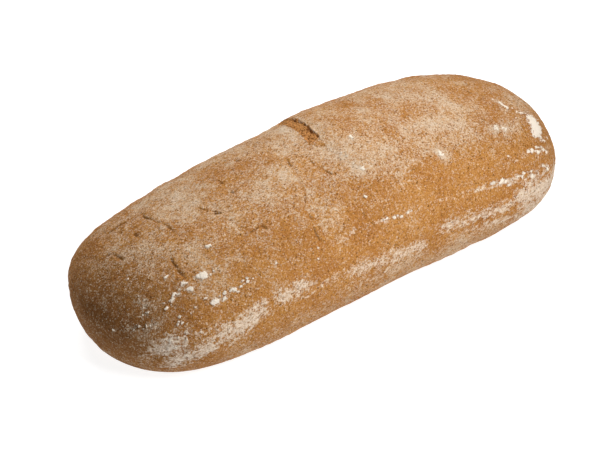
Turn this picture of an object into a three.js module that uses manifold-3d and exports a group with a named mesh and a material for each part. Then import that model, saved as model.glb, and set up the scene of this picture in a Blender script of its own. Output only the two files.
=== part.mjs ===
// A long loaf of brown bread: one piece, baked free on the oven floor, with blunt rounded ends and
// one baker's score across its crown. Millimetres, +Z up, the loaf's length along X. The origin is
// under the middle of the loaf, on the surface that it rests on.
import * as THREE from "three";
import { mergeVertices } from "three/addons/utils/BufferGeometryUtils.js";
import Module from "manifold-3d";

// Driving dimensions of the loaf.
const LENGTH = 330;
const WIDTH = 130;
const HEIGHT = 86;
const BELLY_HEIGHT = 26; // height of the widest line, where the sides stand furthest out
const UNDERSIDE_DEPTH = 43; // how far the round dough would hang below that line without the floor

// How blunt the ends are, seen from above, from the side and underneath: each outline is
// (1 - |u|^blunt)^(1/root), where u runs from -1 at one end of the loaf to 1 at the other.
const PLAN = { blunt: 6.6, root: 1.8 };
const CROWN = { blunt: 1.6, root: 2.3 };
const UNDERSIDE = { blunt: 8, root: 2 };
const CROWN_LEAN = 0.17; // how much fuller the crown is towards the +X end

// The slight waist, drawn in where the score let the dough spring upwards instead of sideways.
const WAIST = { x: 30, reach: 66, share: 0.042 };

// The score: a slit across the crown, opened by the oven, from the ridge down the +Y side. Its
// +X lip has sprung higher than its -X lip, a difference that fades with distance from the slit.
const SCORE = { x: -1, y: 20, turn: -10, halfWidth: 3.4, halfLength: 23, depth: 4.5 };
const SPRING = { share: 0.033, lip: 6, reach: 83 };

// Fineness of the faceted surface.
const RINGS = 88;
const FACETS_ROUND = 56;
const SCORE_FACETS = 20;

const outline = (u, { blunt, root }) => (1 - Math.abs(u) ** blunt) ** (1 / root);
const bell = (distance, reach) => Math.exp(-((distance / reach) ** 2));

function spread(u) {
  const x = (u * LENGTH) / 2;
  return outline(u, PLAN) * (1 - WAIST.share * bell(x - WAIST.x, WAIST.reach));
}

function fullness(u) {
  const fromScore = (u * LENGTH) / 2 - SCORE.x;
  const sprung = SPRING.share * Math.tanh(fromScore / SPRING.lip) * bell(fromScore, SPRING.reach);
  return outline(u, CROWN) * (1 + CROWN_LEAN * u) * (1 + sprung);
}

// The places of the rings of facets, from one end to the other, and the widest and the fullest
// of them, which are WIDTH across and HEIGHT above the floor.
const ringPlaces = Array.from({ length: RINGS + 1 }, (_, i) => Math.cos((Math.PI * i) / RINGS));
const widest = Math.max(...ringPlaces.map(spread));
const fullest = Math.max(...ringPlaces.map(fullness));

const halfWidthAt = (u) => ((WIDTH / 2) * spread(u)) / widest;
const crownAt = (u) => ((HEIGHT - BELLY_HEIGHT) * fullness(u)) / fullest;
const undersideAt = (u) => UNDERSIDE_DEPTH * outline(u, UNDERSIDE);

// The dough's shape before the floor flattens it: a ball with its poles at the loaf's two ends,
// whose rings are widened, raised and lowered to the three outlines.
function doughGeometry() {
  const geometry = new THREE.SphereGeometry(1, FACETS_ROUND, RINGS).rotateZ(-Math.PI / 2);
  const position = geometry.getAttribute("position");
  for (let i = 0; i < position.count; i++) {
    const u = THREE.MathUtils.clamp(position.getX(i), -1, 1);
    const round = Math.hypot(position.getY(i), position.getZ(i)) || 1;
    const across = position.getY(i) / round;
    const up = position.getZ(i) / round;
    const reach = up > 0 ? crownAt(u) : undersideAt(u);
    position.setXYZ(i, (u * LENGTH) / 2, halfWidthAt(u) * across, BELLY_HEIGHT + reach * up);
  }
  return geometry;
}

// The oven floor: everything under Z = 0, with room to spare all round.
function floorGeometry() {
  const spare = 2 * LENGTH;
  return new THREE.BoxGeometry(spare, spare, spare).translate(0, 0, -spare / 2);
}

// The score's hollow: a long rounded slot, lying along the crown's slope at its own place.
function scoreGeometry() {
  const u = (2 * SCORE.x) / LENGTH;
  const across = SCORE.y / halfWidthAt(u);
  const up = Math.sqrt(1 - across ** 2);
  const slope = Math.atan2(-crownAt(u) * across, halfWidthAt(u) * up);
  const straight = 2 * (SCORE.halfLength - SCORE.halfWidth);
  return new THREE.CapsuleGeometry(SCORE.halfWidth, straight, SCORE_FACETS / 4, SCORE_FACETS, 4)
    .scale(1, 1, SCORE.depth / SCORE.halfWidth)
    .rotateZ(THREE.MathUtils.degToRad(SCORE.turn))
    .rotateX(slope)
    .translate(SCORE.x, SCORE.y, BELLY_HEIGHT + crownAt(u) * up);
}

const wasm = await Module();
wasm.setup();

function solidFrom(geometry) {
  geometry.deleteAttribute("normal");
  geometry.deleteAttribute("uv");
  const merged = mergeVertices(geometry, 1e-4);
  const solid = new wasm.Mesh({
    numProp: 3,
    vertProperties: new Float32Array(merged.getAttribute("position").array),
    triVerts: new Uint32Array(merged.index.array),
  });
  return new wasm.Manifold(solid);
}

function geometryFrom(solid) {
  const { vertProperties, triVerts } = solid.getMesh();
  const geometry = new THREE.BufferGeometry();
  geometry.setAttribute("position", new THREE.BufferAttribute(vertProperties, 3));
  geometry.setIndex(new THREE.BufferAttribute(triVerts, 1));
  geometry.computeVertexNormals();
  return geometry;
}

function loafMesh() {
  const baked = solidFrom(doughGeometry()).subtract(solidFrom(floorGeometry()));
  const scored = baked.subtract(solidFrom(scoreGeometry()));
  const crust = new THREE.MeshStandardMaterial({ color: 0xc08a56, roughness: 0.92, metalness: 0 });
  const mesh = new THREE.Mesh(geometryFrom(scored), crust);
  mesh.name = "loaf";
  return mesh;
}

const bread = new THREE.Group();
bread.add(loafMesh());

export default bread;
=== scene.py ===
import math
import random

import bpy
import numpy as np
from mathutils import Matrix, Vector
from mathutils.noise import noise_vector, seed_set


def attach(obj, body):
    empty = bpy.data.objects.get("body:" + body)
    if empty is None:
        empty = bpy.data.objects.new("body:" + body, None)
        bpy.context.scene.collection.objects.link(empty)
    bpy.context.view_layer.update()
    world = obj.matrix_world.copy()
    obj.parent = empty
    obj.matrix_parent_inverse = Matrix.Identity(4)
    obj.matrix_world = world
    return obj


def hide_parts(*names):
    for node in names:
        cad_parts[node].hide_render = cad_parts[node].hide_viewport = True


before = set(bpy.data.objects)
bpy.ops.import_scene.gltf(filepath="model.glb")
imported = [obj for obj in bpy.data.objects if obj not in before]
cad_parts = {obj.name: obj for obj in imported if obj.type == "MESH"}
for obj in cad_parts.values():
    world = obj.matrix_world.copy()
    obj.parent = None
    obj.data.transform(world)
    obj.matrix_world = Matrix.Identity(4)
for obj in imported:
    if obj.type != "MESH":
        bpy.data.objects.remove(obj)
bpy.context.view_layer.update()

# The loaf: one piece of brown dough, proved in a floured basket, slashed once across the crown and
# baked free on the oven floor. Its crust is lumpy, pitted and gritty, and its underside is flat.
# Metres, with +X along the loaf, +Y towards the side that the slash runs down and +Z up.
CRUST_FACET = 0.00134
SAME_POINT = 0.000001  # points closer than this are one point


def only(piece):
    """Selects one piece alone and makes it the active one."""
    bpy.ops.object.select_all(action="DESELECT")
    piece.select_set(True)
    bpy.context.view_layer.objects.active = piece


def finished(piece, kind, **settings):
    """Adds a modifier of that kind to the piece and applies it."""
    only(piece)
    modifier = piece.modifiers.new(kind.title(), kind)
    for name, value in settings.items():
        setattr(modifier, name, value)
    bpy.ops.object.modifier_apply(modifier=modifier.name)


def rows_of(collection, name):
    """The vectors of that name in a mesh's data, one row each."""
    flat = np.empty(len(collection) * 3, np.float32)
    collection.foreach_get(name, flat)
    return flat.reshape(-1, 3).astype(float)


def points_of(piece):
    """The places of a piece's points, one row each."""
    return rows_of(piece.data.vertices, "co")


def outward_of(piece):
    """The outward directions at a piece's points, one row each."""
    return rows_of(piece.data.vertex_normals, "vector")


def move_points(piece, points):
    """Puts a piece's points at these places."""
    piece.data.vertices.foreach_set("co", points.astype(np.float32).ravel())
    piece.data.update()


def group(piece, name, weights):
    """Gives a piece a vertex group with one weight for each point."""
    made = piece.vertex_groups.new(name=name)
    for index, weight in enumerate(np.clip(weights, 0, 1)):
        if weight > 0:
            made.add([index], float(weight), "REPLACE")


def smooth(value):
    """Runs from 0 to 1 as the value does, with a soft start and a soft end."""
    kept = np.clip(value, 0, 1)
    return kept * kept * (3 - 2 * kept)


crust = bpy.data.objects.new("crust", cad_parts["loaf"].data.copy())
bpy.context.scene.collection.objects.link(crust)
only(crust)
bpy.ops.object.mode_set(mode="EDIT")
bpy.ops.mesh.select_all(action="SELECT")
bpy.ops.mesh.remove_doubles(threshold=SAME_POINT)
bpy.ops.object.mode_set(mode="OBJECT")
finished(crust, "REMESH", mode="VOXEL", voxel_size=CRUST_FACET, use_smooth_shade=True)

# The slash: a baker's cut across the crown, a little slanted. The oven has pulled it open: its +X
# lip stands higher and is ragged, its -X lip is thin and floury, and its floor is torn crumb.
SLASH_MIDDLE = Vector((-0.001, 0.020))
SLASH_TURN = math.radians(-10)
SLASH_HALF_WIDTH = 0.0034
SLASH_HALF_LENGTH = 0.023
SLASH_LOWEST = 0.06  # crust below this height is out of the slash's reach
SLASH_LIP = 0.003
FACET_SOFTENING = 8


def slash_place(points):
    """How far points lie outside the slash, across it towards +X, and along it towards +Y."""
    east = points[:, 0] - SLASH_MIDDLE.x
    north = points[:, 1] - SLASH_MIDDLE.y
    across = east * math.cos(SLASH_TURN) + north * math.sin(SLASH_TURN)
    along = north * math.cos(SLASH_TURN) - east * math.sin(SLASH_TURN)
    past_straight = np.maximum(np.abs(along) - (SLASH_HALF_LENGTH - SLASH_HALF_WIDTH), 0)
    outside = np.hypot(across, past_straight) - SLASH_HALF_WIDTH
    return np.where(points[:, 2] > SLASH_LOWEST, outside, np.inf), across, along


# the facets are softened everywhere but close to the slash, whose edges stay crisp
outside = slash_place(points_of(crust))[0]
group(crust, "soft", 1 - smooth(1.5 - np.maximum(outside, 0) / SLASH_LIP))
finished(crust, "SMOOTH", factor=0.5, iterations=FACET_SOFTENING, vertex_group="soft")

# The dough's unevenness: broad swells, lumps over the gas pockets, pits and grit, each a finer
# and shallower pattern than the last. It fades out where the loaf meets the floor.
FOOT_RISE = 0.004  # height over which the unevenness sets in above the floor
UNEVENNESS = {
    # the pitch of each pattern and its relief
    "swells": (0.045, 0.0024),
    "lumps": (0.016, 0.0012),
    "pits": (0.0055, 0.0008),
    "grit": (0.0022, 0.0006),
}
group(crust, "free", smooth(points_of(crust)[:, 2] / FOOT_RISE))
for name, (pitch, relief) in UNEVENNESS.items():
    pattern = bpy.data.textures.new(name, "CLOUDS")
    pattern.noise_scale = pitch
    pattern.noise_depth = 1
    finished(crust, "DISPLACE", texture=pattern, texture_coords="LOCAL", strength=relief,
             mid_level=0.5, vertex_group="free")

# Creases and cracks: the dough's skin has folded and split in a few places while it rose, and has
# closed again along part of each. Each is a path over the crust with the half-width and the depth
# of its groove.
HEALED_PITCH = 0.007
CREASES = (
    # the fold that runs on from the slash down the front
    (((-0.004, -0.002, 0.083), (-0.003, -0.012, 0.083), (0.005, -0.035, 0.076)), 0.0024, 0.0003),
    # splits beside it, on the -X side
    (((-0.017, -0.008, 0.080), (-0.017, -0.018, 0.078), (-0.012, -0.026, 0.076)), 0.0008, 0.0008),
    (((-0.026, -0.002, 0.080), (-0.029, -0.012, 0.078)), 0.0007, 0.0006),
    (((-0.032, -0.024, 0.075), (-0.036, -0.033, 0.070)), 0.0008, 0.0007),
    (((-0.006, -0.046, 0.067), (-0.008, -0.053, 0.058), (-0.010, -0.058, 0.048)), 0.0009, 0.0004),
    (((-0.0386, -0.0408, 0.0660), (-0.0402, -0.0455, 0.0624), (-0.0408, -0.0518, 0.0566)),
     0.0010, 0.0006),
    (((-0.0750, -0.0316, 0.0657), (-0.0697, -0.0321, 0.0665), (-0.0644, -0.0325, 0.0671)),
     0.0007, 0.0005),
    # cracks across the -X crown
    (((-0.127, 0.033, 0.052), (-0.118, 0.031, 0.056), (-0.109, 0.027, 0.060)), 0.0009, 0.0007),
    (((-0.109, 0.027, 0.060), (-0.1085, 0.016, 0.062), (-0.107, 0.004, 0.064)), 0.0009, 0.0009),
    (((-0.107, 0.004, 0.064), (-0.1065, -0.004, 0.064)), 0.0008, 0.0006),
    (((-0.143, 0.017, 0.049), (-0.138, 0.015, 0.052), (-0.137, 0.005, 0.053)), 0.0009, 0.0008),
    (((-0.086, 0.002, 0.069), (-0.080, -0.011, 0.070)), 0.0007, 0.0007),
    # and on the far side
    (((0.040, 0.020, 0.083), (0.044, 0.034, 0.077), (0.041, 0.046, 0.067)), 0.0008, 0.0008),
    (((-0.070, 0.040, 0.062), (-0.066, 0.052, 0.050), (-0.068, 0.060, 0.036)), 0.0009, 0.0008),
)

# Pits where gas has broken through the skin, in the same form. They have not closed again.
PITS = (
    (((-0.120, -0.018, 0.0585), (-0.1205, -0.023, 0.0572)), 0.0009, 0.0009),
    (((-0.121, -0.026, 0.0562), (-0.1205, -0.0295, 0.0554)), 0.0012, 0.0010),
    (((-0.1218, 0.0155, 0.0583), (-0.1218, 0.0135, 0.0584)), 0.0010, 0.0011),
    (((0.1222, 0.0125, 0.0680), (0.1190, 0.0050, 0.0700)), 0.0013, 0.0013),
    (((0.1109, -0.0022, 0.0726), (0.1123, -0.0052, 0.0721)), 0.0010, 0.0010),
    (((0.1003, -0.0288, 0.0701), (0.1010, -0.0300, 0.0697)), 0.0009, 0.0009),
    (((-0.0658, -0.0018, 0.0732), (-0.0650, -0.0030, 0.0731)), 0.0010, 0.0010),
    (((-0.0285, 0.0267, 0.0742), (-0.0278, 0.0257, 0.0743)), 0.0010, 0.0009),
    (((-0.0449, 0.0206, 0.0741), (-0.0440, 0.0195, 0.0742)), 0.0009, 0.0009),
    (((-0.0814, -0.0088, 0.0697), (-0.0800, -0.0100, 0.0697)), 0.0009, 0.0009),
    (((-0.065, 0.011, 0.073), (-0.064, 0.009, 0.073)), 0.0012, 0.0012),
    (((-0.067, -0.032, 0.067), (-0.066, -0.035, 0.066)), 0.0011, 0.0010),
)

# Flour from the basket: scabs and crumbs of it stick to the crust in loose rows. Each is a path
# over the crust with the half-width of the scab on it.
SCAB_RELIEF = 0.0008
SCAB_RAGGEDNESS = 0.7
scabs = [
    # the long scab on the +X end, and what has broken off it
    (((0.1372, -0.0330, 0.0550), (0.1360, -0.0368, 0.0531), (0.1336, -0.0398, 0.0517)), 0.0050),
    (((0.1363, -0.0440, 0.0474), (0.1366, -0.0446, 0.0470)), 0.0009),
    (((0.1416, -0.0416, 0.0454), (0.1420, -0.0420, 0.0450)), 0.0007),
    (((0.1335, -0.0497, 0.0430), (0.1340, -0.0495, 0.0430)), 0.0008),
    (((0.1238, -0.0185, 0.0664), (0.1242, -0.0216, 0.0653)), 0.0012),
    (((0.1243, -0.0222, 0.0650), (0.1248, -0.0228, 0.0647)), 0.0014),
    (((0.1278, -0.0240, 0.0632), (0.1282, -0.0244, 0.0630)), 0.0006),
    (((0.1302, -0.0268, 0.0614), (0.1304, -0.0269, 0.0613)), 0.0005),
    (((0.1324, -0.0276, 0.0600), (0.1328, -0.0283, 0.0597)), 0.0008),
    # the thickest crumbs on the -X end
    (((-0.0995, -0.0252, 0.0627), (-0.0985, -0.0256, 0.0629)), 0.0012),
    (((-0.1138, -0.0366, 0.0548), (-0.1112, -0.0374, 0.0556)), 0.0018),
    (((-0.1236, -0.0343, 0.0529), (-0.1226, -0.0346, 0.0530)), 0.0012),
    (((-0.1228, -0.0382, 0.0514), (-0.1220, -0.0386, 0.0515)), 0.0012),
    (((-0.1315, -0.0350, 0.0495), (-0.1300, -0.0345, 0.0502)), 0.0009),
    (((-0.1378, -0.0376, 0.0454), (-0.1372, -0.0375, 0.0457)), 0.0009),
    (((-0.1152, -0.0506, 0.0463), (-0.1138, -0.0510, 0.0465)), 0.0017),
    (((-0.1080, -0.0505, 0.0484), (-0.1070, -0.0507, 0.0486)), 0.0007),
    (((-0.1432, -0.0085, 0.0502), (-0.1428, -0.0087, 0.0504)), 0.0005),
    (((-0.1285, -0.0246, 0.0540), (-0.1278, -0.0246, 0.0543)), 0.0008),
    (((-0.1350, -0.0478, 0.0401), (-0.1340, -0.0480, 0.0405)), 0.0006),
    (((-0.1373, -0.0470, 0.0393), (-0.1366, -0.0473, 0.0395)), 0.0005),
    (((-0.1614, -0.0197, 0.0303), (-0.1611, -0.0202, 0.0303)), 0.0006),
    (((-0.1054, -0.0381, 0.0566), (-0.1050, -0.0382, 0.0567)), 0.0006),
    (((-0.1092, -0.0526, 0.0464), (-0.1086, -0.0526, 0.0465)), 0.0011),
    (((-0.1011, -0.0522, 0.0490), (-0.1007, -0.0515, 0.0494)), 0.0009),
    (((-0.0924, -0.0521, 0.0505), (-0.0918, -0.0520, 0.0506)), 0.0008),
    # and on the crown
    (((0.0110, -0.0130, 0.0840), (0.0116, -0.0150, 0.0840)), 0.0007),
    (((-0.0030, -0.0450, 0.0670), (-0.0024, -0.0456, 0.0665)), 0.0008),
    (((0.0050, -0.0334, 0.0770), (0.0056, -0.0340, 0.0765)), 0.0009),
    (((-0.0443, -0.0539, 0.0540), (-0.0438, -0.0540, 0.0539)), 0.0006),
    (((-0.0469, -0.0573, 0.0494), (-0.0466, -0.0573, 0.0494)), 0.0005),
    (((-0.0719, -0.0517, 0.0539), (-0.0712, -0.0517, 0.0540)), 0.0006),
    (((0.1014, -0.0512, 0.0547), (0.1018, -0.0513, 0.0545)), 0.0006),
]
ROWS_OF_CRUMBS = (
    # from, to, number of crumbs, and their least and greatest half-width
    ((-0.104, -0.038, 0.057), (-0.118, -0.035, 0.054), 3, 0.0004, 0.0007),
    ((-0.124, -0.034, 0.052), (-0.139, -0.038, 0.0445), 9, 0.0004, 0.0008),
    ((-0.0885, -0.0515, 0.0518), (-0.110, -0.051, 0.048), 11, 0.0004, 0.0008),
    ((-0.112, -0.050, 0.048), (-0.138, -0.045, 0.040), 6, 0.0003, 0.0006),
    ((0.000, -0.0555, 0.054), (0.024, -0.0566, 0.0518), 7, 0.0004, 0.0007),
    ((0.1195, -0.0520, 0.0485), (0.1315, -0.0485, 0.0465), 8, 0.0005, 0.0010),
    ((0.080, -0.0592, 0.0456), (0.134, -0.054, 0.035), 16, 0.0005, 0.0010),
    ((0.100, -0.0370, 0.0665), (0.113, -0.0373, 0.0628), 6, 0.0004, 0.0007),
    ((0.0555, -0.0395, 0.0705), (0.0590, -0.0440, 0.0668), 4, 0.0004, 0.0008),
    ((0.121, -0.0138, 0.068), (0.125, -0.031, 0.0617), 6, 0.0004, 0.0007),
    ((-0.145, -0.022, 0.047), (-0.148, -0.036, 0.039), 10, 0.0003, 0.0005),
    ((-0.158, -0.027, 0.034), (-0.146, -0.039, 0.039), 10, 0.0003, 0.0005),
    ((-0.146, -0.046, 0.029), (-0.130, -0.054, 0.030), 10, 0.0003, 0.0005),
    ((-0.002, -0.014, 0.0822), (0.006, -0.036, 0.0754), 9, 0.0003, 0.0005),
)
CRUMB_SPREAD = 0.0011
crumbs = random.Random(11)
for start, end, count, smallest, largest in ROWS_OF_CRUMBS:
    for i in range(count):
        share = (i + crumbs.uniform(0.1, 0.9)) / count
        spot = [a + (b - a) * share + crumbs.gauss(0, CRUMB_SPREAD) for a, b in zip(start, end)]
        tip = [spot[0] + crumbs.uniform(0.0002, 0.0012), spot[1], spot[2]]
        scabs.append(((spot, tip), crumbs.uniform(smallest, largest)))

# Where the dusting of flour is thicker or thinner than around it. Each is a path over the crust
# with its half-width and how much dust it adds or, below 0, takes away.
PATCHES = (
    # flour trodden out of the slash and down the front
    (((-0.002, -0.011, 0.083), (-0.002, -0.016, 0.082), (0.004, -0.033, 0.077)), 0.0030, 0.26),
    (((-0.002, -0.015, 0.082), (-0.003, -0.020, 0.0805), (-0.002, -0.027, 0.0785),
      (0.006, -0.035, 0.0757)), 0.0022, 0.14),
    (((-0.011, 0.004, 0.082), (-0.009, 0.030, 0.082)), 0.0035, 0.18),
    (((0.018, -0.015, 0.084), (0.022, -0.028, 0.079)), 0.0070, 0.06),
    # pale streaks on the +X crown
    (((0.045, -0.021, 0.081), (0.063, -0.024, 0.078), (0.080, -0.031, 0.073)), 0.0060, 0.22),
    (((0.059, 0.008, 0.083), (0.077, 0.001, 0.080), (0.089, -0.012, 0.077)), 0.0060, 0.20),
    (((0.124, -0.018, 0.066), (0.120, -0.013, 0.069)), 0.0024, 0.50),
    (((0.112, -0.037, 0.063), (0.105, -0.037, 0.065), (0.100, -0.037, 0.067)), 0.0030, 0.50),
    (((0.090, -0.041, 0.065), (0.086, -0.043, 0.066)), 0.0025, 0.30),
    (((0.0555, -0.0395, 0.0705), (0.0590, -0.0440, 0.0668)), 0.0025, 0.60),
    # pale patches on the -X crown
    (((-0.086, 0.022, 0.066), (-0.098, 0.014, 0.065)), 0.0100, 0.16),
    (((-0.061, -0.008, 0.074), (-0.053, -0.026, 0.071)), 0.0080, 0.10),
    (((-0.115, 0.036, 0.052), (-0.075, 0.042, 0.060), (-0.035, 0.044, 0.068)), 0.0080, 0.24),
    # bare patches, the first of them where the slash runs out
    (((-0.0048, -0.0050, 0.083), (-0.0030, -0.0085, 0.083)), 0.0018, -0.35),
    (((0.110, 0.010, 0.072), (0.135, 0.020, 0.060)), 0.0200, -0.28),
    (((0.056, -0.010, 0.083), (0.066, -0.010, 0.081)), 0.0060, -0.15),
    (((0.030, 0.019, 0.083), (0.019, 0.024, 0.082)), 0.0090, -0.20),
    (((0.120, -0.004, 0.070), (0.128, -0.030, 0.060)), 0.0060, -0.18),
    (((-0.065, 0.005, 0.073), (-0.060, 0.008, 0.074)), 0.0035, -0.20),
    (((-0.032, 0.002, 0.079), (-0.018, -0.018, 0.078)), 0.0050, -0.24),
    (((-0.148, -0.012, 0.047), (-0.155, 0.010, 0.042)), 0.0140, -0.14),
    # flour low on the -X end
    (((-0.151, -0.040, 0.029), (-0.140, -0.051, 0.025)), 0.0090, 0.25),
    (((-0.145, -0.024, 0.046), (-0.146, -0.030, 0.043), (-0.148, -0.037, 0.038)), 0.0036, 0.22),
    (((-0.157, -0.029, 0.034), (-0.153, -0.034, 0.035), (-0.147, -0.039, 0.038)), 0.0034, 0.22),
    # and on the far side
    (((-0.030, 0.045, 0.065), (0.020, 0.050, 0.062)), 0.0080, 0.20),
    (((0.070, 0.048, 0.055), (0.100, 0.046, 0.050)), 0.0060, 0.25),
)

seed_set(2)  # the noise then gives the same loaf each time
WANDER_PITCH = 0.005
WANDER = 0.0011
SURFACE_SLACK = 0.006


def noise_at(points, pitch):
    """Three smooth patterns at the points, each from about -0.5 to 0.5, with lumps a pitch apart."""
    return np.array([noise_vector(Vector(point) / pitch) for point in points])


def spread_of(pattern, share):
    """Turns a smooth pattern into stretches of 1 between stretches of 0, about that share of them 1."""
    return smooth(share + 2.5 * pattern)


def distances_to(marks, slack=SURFACE_SLACK):
    """How far along the crust its points are from each mark's path, whose line wanders a little.
    Crust that lies more than the slack above or below a path's line is out of its reach."""
    points = points_of(crust)
    outward = outward_of(crust)
    wandering = points + WANDER * noise_at(points, WANDER_PITCH)
    for path, *rest in marks:
        nearest = np.full(len(points), np.inf)
        for start, end in zip(map(np.array, path), map(np.array, path[1:])):
            run = end - start
            share = np.clip((wandering - start) @ run / (run @ run), 0, 1)
            off = wandering - start - share[:, None] * run
            above = np.sum(off * outward, axis=1)
            beside = np.linalg.norm(off - above[:, None] * outward, axis=1)
            nearest = np.minimum(nearest, np.where(np.abs(above) < slack, beside, np.inf))
        yield nearest


def refined(near):
    """Makes the crust's mesh twice as fine at the points near a mark."""
    only(crust)
    bpy.ops.object.mode_set(mode="EDIT")
    bpy.ops.mesh.select_mode(type="VERT")
    bpy.ops.mesh.select_all(action="DESELECT")
    bpy.ops.object.mode_set(mode="OBJECT")
    crust.data.vertices.foreach_set("select", near)
    bpy.ops.object.mode_set(mode="EDIT")
    bpy.ops.mesh.subdivide(number_cuts=1)
    bpy.ops.object.mode_set(mode="OBJECT")


FINE_MARGIN = 0.0022
FINEST_MARGIN = 0.0012
marks = (*CREASES, *PITS, *scabs)
near = slash_place(points_of(crust))[0] < FINE_MARGIN
for nearest, (path, reach, *rest) in zip(distances_to(marks), marks):
    near |= nearest < reach + FINE_MARGIN
refined(near)
refined(slash_place(points_of(crust))[0] < FINEST_MARGIN)

# The slash is shaped again on the finer mesh. The crown's own level over it is fitted to the crust
# on both sides, and the floor is set below that level, with a step up to the +X side.
RIM_START = 0.0012  # the level is fitted to the crust between these distances from the slash
RIM_END = 0.0090
LIP_LIFT = 0.0004
LIP_WIDTH = 0.0012
LIP_EDGE = 0.0006
LIP_RAGGEDNESS = 0.0010
MINUS_LIP = 0.4  # how much of that rise and raggedness the -X lip has, and the +X lip has 1 more
TORN_DEPTH = 0.0017
TORN_CLIMB = 0.0014  # how much nearer the crown the floor comes at the +X lip
TORN_ROUGHNESS = 0.0007
TEAR_PITCH = 0.0030
FINE_TEAR_PITCH = 0.0012
NOTCH_DEPTH = 0.0030  # holes torn along the foot of the +X lip
NOTCH_PLACE = 0.80 * SLASH_HALF_WIDTH
NOTCH_WIDTH = 0.0006
NOTCHED_SHARE = 0.3
FRONT_FADE = 0.007  # the slash runs out over this length at its front end
FRONT_DEPTH = 0.25  # the share of its depth that is left there
FRONT_TEAR = 0.4  # and the share of its torn look
BLEND_START = 0.0004  # the shaped crust turns into the crust around it from here
BLEND_WIDTH = 0.0008

points = points_of(crust)
outside, across, along = slash_place(points)
terms = np.stack([
    np.ones(len(points)), across, along, across * along, across ** 2, along ** 2, along ** 3,
    across * along ** 2, across ** 2 * along, across ** 3, np.tanh(across / SLASH_HALF_WIDTH),
], axis=1)
rim = (outside > RIM_START) & (outside < RIM_END)
level = terms @ np.linalg.lstsq(terms[rim], points[rim, 2], rcond=None)[0]

close = np.flatnonzero(outside < FINEST_MARGIN)
coarse = noise_at(points[close], TEAR_PITCH)
fine = noise_at(points[close], FINE_TEAR_PITCH)
plus_side = smooth(0.5 + across[close] / (2 * SLASH_HALF_WIDTH))
lip_share = MINUS_LIP + plus_side
edge = outside[close] + LIP_RAGGEDNESS * lip_share * (coarse[:, 0] + 0.6 * fine[:, 0])
inside = smooth(0.5 - edge / LIP_EDGE)
open_share = smooth((along[close] + SLASH_HALF_LENGTH) / FRONT_FADE)
foot_of_lip = np.exp(-(((across[close] - NOTCH_PLACE) / NOTCH_WIDTH) ** 2))
notches = NOTCH_DEPTH * foot_of_lip * spread_of(coarse[:, 1], NOTCHED_SHARE)
depth = TORN_DEPTH - TORN_CLIMB * plus_side + notches
depth = depth * (FRONT_DEPTH + (1 - FRONT_DEPTH) * open_share)
depth = depth + TORN_ROUGHNESS * (coarse[:, 2] + 0.7 * fine[:, 2])
lip = LIP_LIFT * np.exp(-((edge / LIP_WIDTH) ** 2)) * lip_share
shaped = level[close] + lip * (1 - inside) - depth * inside
kept = smooth((outside[close] - BLEND_START) / BLEND_WIDTH)
points[close, 2] = kept * points[close, 2] + (1 - kept) * shaped
torn = np.zeros(len(points))
torn[close] = inside * (FRONT_TEAR + (1 - FRONT_TEAR) * open_share)
move_points(crust, points)

# The creases and pits are pressed into the crust, and the scabs and crumbs are raised on it. How
# creased, floury, torn and dusted each point is stays with the mesh, for the finish to use.
HEALED_DEPTH = 0.5  # the share of its depth that a healed stretch has lost
DARK_REACH = 0.0010  # a groove wider than this holds less shade
outward = outward_of(crust)
creased = np.zeros(len(points))
healed = HEALED_DEPTH * spread_of(noise_at(points, HEALED_PITCH)[:, 0], 0.5)
hollows = [(*mark, healed) for mark in CREASES] + [(*mark, 0.0) for mark in PITS]
for nearest, (path, reach, depth, closed) in zip(distances_to(hollows), hollows):
    groove = np.exp(-((nearest / reach) ** 2)) * (1 - closed)
    points -= outward * (depth * groove)[:, None]
    creased = np.maximum(creased, groove * min(1, DARK_REACH / reach))

SCAB_EDGE_PITCH = 0.0012
SCAB_FOOT = 0.35  # a scab rises from the crust where it is this floury
SCAB_SLOPE = 0.3  # and is at its full height where it is this much flourier
flour = np.zeros(len(points))
ragged = 1 + SCAB_RAGGEDNESS * noise_at(points, SCAB_EDGE_PITCH)[:, 0]
for nearest, (path, reach) in zip(distances_to(scabs), scabs):
    flour = np.maximum(flour, np.clip(1 - nearest * ragged / (2 * reach), 0, 1))
points += outward * (SCAB_RELIEF * smooth((flour - SCAB_FOOT) / SCAB_SLOPE))[:, None]

PATCH_SLACK = 0.03
dusted = np.zeros(len(points))
for nearest, (path, reach, amount) in zip(distances_to(PATCHES, PATCH_SLACK), PATCHES):
    dusted += amount * np.exp(-((nearest / reach) ** 2))

move_points(crust, points)
only(crust)
bpy.ops.object.shade_smooth()

for name, values in (("flour", flour), ("torn", torn), ("creased", creased), ("dusted", dusted)):
    painted = crust.data.attributes.new(name, "FLOAT", "POINT")
    painted.data.foreach_set("value", values.astype(np.float32))


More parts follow.
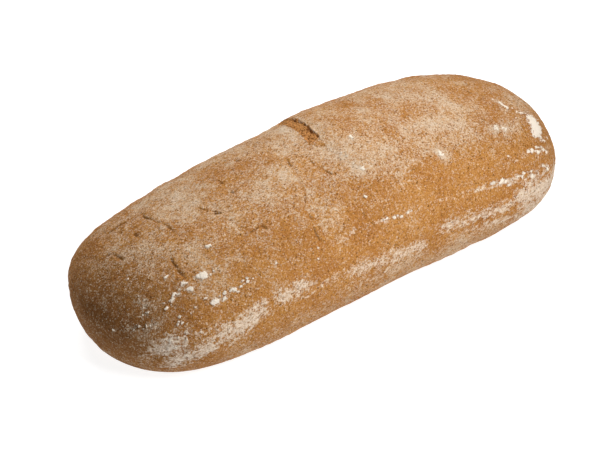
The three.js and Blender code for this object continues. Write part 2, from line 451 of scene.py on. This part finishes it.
class Wire:
    """A value that varies over the crust. Arithmetic on wires adds the material's Math nodes."""

    def __init__(self, socket):
        self.socket = socket

    def node(self, kind, settings=None, inputs=None, output=0):
        """Adds a node of that kind to this wire's material, and gives the wire out of it."""
        tree = self.socket.id_data
        made = tree.nodes.new("ShaderNode" + kind)
        for name, value in (settings or {}).items():
            setattr(made, name, value)
        for name, value in (inputs or {}).items():
            if isinstance(value, Wire):
                tree.links.new(value.socket, made.inputs[name])
            else:
                made.inputs[name].default_value = value
        return Wire(made.outputs[output])

    def maths(self, operation, first, second=0.0):
        return self.node("Math", {"operation": operation}, {0: first, 1: second})

    def __add__(self, other):
        return self.maths("ADD", self, other)

    def __radd__(self, other):
        return self.maths("ADD", other, self)

    def __sub__(self, other):
        return self.maths("SUBTRACT", self, other)

    def __rsub__(self, other):
        return self.maths("SUBTRACT", other, self)

    def __mul__(self, other):
        return self.maths("MULTIPLY", self, other)

    def __rmul__(self, other):
        return self.maths("MULTIPLY", other, self)

    def __truediv__(self, other):
        return self.maths("DIVIDE", self, other)

    def __pow__(self, other):
        return self.maths("POWER", self, other)

    def __rpow__(self, other):
        return self.maths("POWER", other, self)

    def __abs__(self):
        return self.maths("ABSOLUTE", self)

    def larger(self, other):
        return self.maths("MAXIMUM", self, other)

    def step(self, low, high):
        """0 below low and 1 above high, with a soft change between them."""
        return self.node("MapRange", {"interpolation_type": "SMOOTHSTEP"},
                         {"Value": self, "From Min": low, "From Max": high})

    def clouds(self, pitch, detail=2.0, roughness=0.5, distortion=0.0):
        """A cloudy pattern at this place, about 0.5 on average, with lumps a pitch apart."""
        return self.node("TexNoise", {}, {"Vector": self, "Scale": 1 / pitch, "Detail": detail,
                                          "Roughness": roughness, "Distortion": distortion})

    def grains(self, pitch):
        """A pattern of grains a pitch apart, each with a chance value from 0 to 1 of its own."""
        cells = self.node("TexVoronoi", {}, {"Vector": self, "Scale": 1 / pitch}, output=1)
        return cells.node("SeparateColor", {}, {"Color": cells})

    def distance_to(self, spot):
        """How far this place is from a spot."""
        return self.node("VectorMath", {"operation": "DISTANCE"}, {0: self, 1: spot}, output=1)

    def painted(self, name):
        """How much of a painted mark the crust has here, from 0 to 1."""
        return self.node("Attribute", {"attribute_name": name}, output=2)

    def between(self, colour, other):
        """The first colour where this is 0, the other where it is 1."""
        return self.node("Mix", {"data_type": "RGBA"}, {0: self, 6: colour, 7: other}, output=2)


def paint(red, green, blue):
    """A colour from its usual 0 to 255 values."""
    linear = [((v / 255 + 0.055) / 1.055) ** 2.4 for v in (red, green, blue)]
    return (*linear, 1.0)


# The crust's finish: brown crust with darker bran, and flour that lies on it grain by grain. The
# dusting is thick on the crown and thin on the sides, with rows where the basket's coils pressed.
BROWN = paint(200, 144, 76)
DEEP_BROWN = paint(160, 100, 46)
BRAN = paint(96, 59, 29)
DUST = paint(219, 200, 176)
FLOUR = paint(250, 237, 220)
TORN = paint(206, 145, 84)
TORN_DARK = paint(120, 74, 36)
DARK_END_SPOT = (-0.154, -0.014, 0.036)  # the middle of the darkest part of the -X end: a browner bake with painted shade over it
GRAIN_PITCH = 0.00074
GRIT_PITCH = 0.00050

material = bpy.data.materials.new("crust")
material.use_nodes = True
tree = material.node_tree
shader = tree.nodes["Principled BSDF"]
place = Wire(tree.nodes.new("ShaderNodeTexCoord").outputs["Object"])
x, y, z = (place.node("SeparateXYZ", {}, {0: place}, output=i) for i in range(3))

# The coils of the proving basket ran round the loaf, and rose a little towards its middle.
COIL_RISE = 0.013
COIL_REACH = 0.128  # the coils are lower by that rise at this distance from the middle
COIL_STRETCH = 0.30
COIL_SLANT = 0.20
arch = z + x * x * (COIL_RISE / COIL_REACH ** 2)
coil = place.node("CombineXYZ", {}, {
    0: x * COIL_STRETCH,
    1: arch - x * COIL_SLANT,
    2: y * COIL_STRETCH,
})

blotch = place.clouds(pitch=0.024, detail=3.0, roughness=0.6)
swirl = place.clouds(pitch=0.009, detail=3.0, roughness=0.6, distortion=0.8)
streak = coil.clouds(pitch=0.0030, detail=4.0, roughness=0.8)
fleck = place.clouds(pitch=0.0024, detail=2.0, roughness=0.6)
grain = place.grains(GRAIN_PITCH)
grit = place.grains(GRIT_PITCH)

# how dusty with flour: much on the crown, little on the sides, and more again near the floor
crown_edge = 0.0635 + 0.0050 * x.step(-0.01, 0.05)
edge_width = 0.018 - 0.012 * x.step(-0.03, 0.06)
crown = ((arch - crown_edge + (swirl - 0.5) * 0.014) / edge_width).step(-1.0, 1.0)
foot = 1 - arch.step(0.020, 0.036)
side_dust = -0.01 + 0.06 * x.step(-0.150, -0.110) - 0.10 * x.step(-0.02, 0.04) * (1 - foot)
crown_dust = 0.39 + 0.12 * x.step(-0.04, 0.04)
# the +X foot is paler still: more dust there, with painted light on the foot
foot_dust_and_light = 0.28 + 0.22 * x.step(0.0, 0.1)
dust = side_dust + crown_dust * crown + foot_dust_and_light * foot
dust = dust + place.painted("dusted") - 0.35 * place.painted("creased")
dust = dust + (blotch - 0.5) * 1.1 + (swirl - 0.5) * 1.15

# Rows of flour that the basket's coils left along the sides.
ROWS_OF_DUST = (
    # x and height at both ends of a row, its half-width and its strength
    (0.066, 0.0506, 0.113, 0.0494, 0.0013, 1.1),
    (0.113, 0.0494, 0.140, 0.0445, 0.0014, 1.0),
    (-0.045, 0.0550, 0.066, 0.0506, 0.0016, 0.45),
    (0.040, 0.0355, 0.098, 0.0352, 0.0034, 1.15),
    (0.100, 0.0370, 0.146, 0.0380, 0.0085, 1.50),
    (0.104, 0.0280, 0.142, 0.0280, 0.0060, 1.25),
    (-0.026, 0.0340, 0.030, 0.0280, 0.0034, 1.15),
    (0.060, 0.0275, 0.110, 0.0250, 0.0020, 1.05),
    (-0.050, 0.0370, -0.010, 0.0365, 0.0022, 0.7),
    (-0.145, 0.0305, -0.118, 0.0405, 0.0048, 1.4),
    (-0.122, 0.0405, -0.085, 0.0430, 0.0042, 1.45),
    (-0.082, 0.0441, -0.053, 0.0418, 0.0032, 1.3),
    (-0.072, 0.0388, -0.052, 0.0336, 0.0014, 0.8),
    (-0.113, 0.0322, -0.104, 0.0345, 0.0016, 0.8),
    (-0.152, 0.0405, -0.134, 0.0480, 0.0046, 1.30),
    (-0.137, 0.0463, -0.116, 0.0472, 0.0018, 0.75),
    (-0.021, 0.0230, 0.010, 0.0220, 0.0020, 0.7),
    (0.090, 0.0590, 0.140, 0.0580, 0.0020, 0.6),
)
ROW_SWAY = 0.006
ROW_END = 0.006  # a row fades in and out over this far to both sides of its ends
ROW_EDGE = 2.4  # and across it has faded out at this many half-widths
FAR_SIDE_SHIFT = 0.055  # the rows do not lie opposite each other on the loaf's two sides
row_place = x - FAR_SIDE_SHIFT * y.step(-0.010, 0.010)
rows = None
for start, low, end, high, half_width, strength in ROWS_OF_DUST:
    row_height = low + (row_place - start) * ((high - low) / (end - start))
    off = abs(arch - row_height + (swirl - 0.5) * ROW_SWAY)
    begun = row_place.step(start - ROW_END, start + ROW_END)
    ended = row_place.step(end - ROW_END, end + ROW_END)
    row = (1 - off.step(0.0, half_width * ROW_EDGE)) * (begun * (1 - ended)) * strength
    rows = row if rows is None else rows.larger(row)

# they fade out round the loaf's ends, and are broken up into streaks and flecks
rows = rows * abs(y + (swirl - 0.5) * 0.02).step(0.004, 0.036)
broken = (streak - 0.5) * 3.6 + (fleck - 0.5) * 2.6
rows = (rows * 0.95 + broken * rows.step(0.0, 0.4)).step(0.05, 1.55)
ROW_DUST = 0.90  # how dusty a full row is
dust = dust.larger(0.0)
dust = dust + (ROW_DUST - dust) * rows + 0.5 * place.painted("flour")

# each grain of the crust is more or less floury by chance, and the dust sets the odds
chance = grain * 0.8 + grit * 0.2
floury = chance ** (8.0 * 0.05 ** dust)
crumb = (place.painted("flour") + (fleck - 0.5) * 0.4 + (grit - 0.5) * 0.20).step(0.44, 0.60)
torn_mask = (place.painted("torn") + (fleck - 0.5) * 0.4).step(0.42, 0.62)
# painted shade in the creases and pits, broken up a little
painted_crease_shade = (place.painted("creased") + (fleck - 0.5) * 0.5).step(0.30, 0.95)

# brown, deep brown and bran, painted crease shade, bake and painted end shade, then flour, torn floor
# last
colour = (blotch * 0.4 + fleck * 0.3 + grit * 0.3).step(0.25, 0.75).between(DEEP_BROWN, BROWN)
colour = (1 - chance).step(0.76, 0.99).between(colour, BRAN)
# creases and pits darkened towards bran: painted shade in the grooves
colour = (painted_crease_shade * 0.65).between(colour, BRAN)
# darker at the -X end, round its darkest spot and low on the -X half's sides: a browner bake at the end
# with painted shade over it, and painted shade on those sides
bake_and_shade = (1 - x.step(-0.175, -0.105)) * 0.28 + (1 - x.step(-0.120, -0.030)) * (1 - crown) * 0.10
bake_and_shade = bake_and_shade + (1 - place.distance_to(DARK_END_SPOT).step(0.010, 0.056)) * 0.36
colour = bake_and_shade.between(colour, BRAN)
# the flour rows are whiter at the -X end: painted light where the lamps reach it less
row_white_painted_light = 1 - 0.5 * x.step(-0.150, -0.110)
colour = floury.between(colour, (row_white_painted_light * rows).between(DUST, FLOUR))
colour = (crumb * 0.95).between(colour, FLOUR)
torn_colour = (fleck * 0.6 + grit * 0.4).step(0.30, 0.58).between(TORN_DARK, TORN)
colour = torn_mask.between(colour, torn_colour)
tree.links.new(colour.socket, shader.inputs["Base Color"])

rough = 0.78 + 0.14 * floury + 0.05 * grain
tree.links.new(rough.socket, shader.inputs["Roughness"])
shader.inputs["Specular IOR Level"].default_value = 0.06

RELIEF = 0.0011
domes = place.node("TexVoronoi", {}, {"Vector": place, "Scale": 1 / GRAIN_PITCH})
relief = 0.40 * (1 - domes) + 0.30 * grit + 0.9 * fleck + 0.4 * crumb + 0.15 * floury
bump = place.node("Bump", {}, {"Height": relief, "Distance": RELIEF, "Strength": 1.0})
tree.links.new(bump.socket, shader.inputs["Normal"])

crust.data.materials.clear()
crust.data.materials.append(material)
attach(crust, "root")
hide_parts("loaf")

# The floor: a plain white surface that the loaf rests on. It gives off most of its own white, so
# that the loaf's shadow on it stays faint.
WHITE = (1, 1, 1, 1)
FLOOR_SIZE = 12
FLOOR_GREY = (0.36, 0.36, 0.36, 1)
FLOOR_GLOW = 0.88
bpy.ops.object.select_all(action="DESELECT")
bpy.ops.mesh.primitive_plane_add(size=FLOOR_SIZE, location=(0, 0, 0))
floor = bpy.context.active_object
floor.name = "floor"
white = bpy.data.materials.new("floor")
white.use_nodes = True
floor_shader = white.node_tree.nodes["Principled BSDF"]
floor_shader.inputs["Base Color"].default_value = FLOOR_GREY
floor_shader.inputs["Roughness"].default_value = 0.9
floor_shader.inputs["Specular IOR Level"].default_value = 0.0
floor_shader.inputs["Emission Color"].default_value = WHITE
floor_shader.inputs["Emission Strength"].default_value = FLOOR_GLOW
floor.data.materials.append(white)

# Studio light: a soft lamp close to the near side, a stronger one further off behind the loaf, and
# a faint even light from all round.
ROOM_GLOW = 0.08
LAMPS_AIM = Vector((0, 0, 0.04))
world = bpy.data.worlds.new("studio")
bpy.context.scene.world = world
world.use_nodes = True
world.node_tree.nodes["Background"].inputs["Color"].default_value = WHITE
world.node_tree.nodes["Background"].inputs["Strength"].default_value = ROOM_GLOW


def lamp(name, bearing, height, distance, size, power):
    """Adds a soft square lamp that faces the loaf. Its bearing is in degrees from +X towards +Y,
    and its height in degrees above the floor."""
    bearing = math.radians(bearing)
    height = math.radians(height)
    away = Vector((
        math.cos(bearing) * math.cos(height),
        math.sin(bearing) * math.cos(height),
        math.sin(height),
    ))
    bpy.ops.object.light_add(type="AREA", location=LAMPS_AIM + away * distance)
    made = bpy.context.active_object
    made.name = name
    made.data.size = size
    made.data.energy = power
    made.rotation_euler = (-away).to_track_quat("-Z", "Y").to_euler()
    made.visible_camera = False


lamp("front", bearing=-79, height=50, distance=0.5, size=0.25, power=2.8)
lamp("back", bearing=76, height=38, distance=1.1, size=0.5, power=10.2)

# The view: over the near side of the loaf's -X end, so that the loaf lies across it and its +X end
# points away to the right.
AZIMUTH = math.radians(-37.96)
ELEVATION = math.radians(35.59)
DISTANCE = 1.5
AIM = Vector((-0.0159, -0.0015, 0.0276))
LENS = 152.8
back = Vector((
    math.sin(AZIMUTH) * math.cos(ELEVATION),
    -math.cos(AZIMUTH) * math.cos(ELEVATION),
    math.sin(ELEVATION),
))
bpy.ops.object.camera_add(location=AIM + back * DISTANCE)
camera = bpy.context.active_object
camera.rotation_euler = (-back).to_track_quat("-Z", "Y").to_euler()
camera.data.lens = LENS
bpy.context.scene.camera = camera
bpy.context.scene.view_settings.view_transform = "Standard"
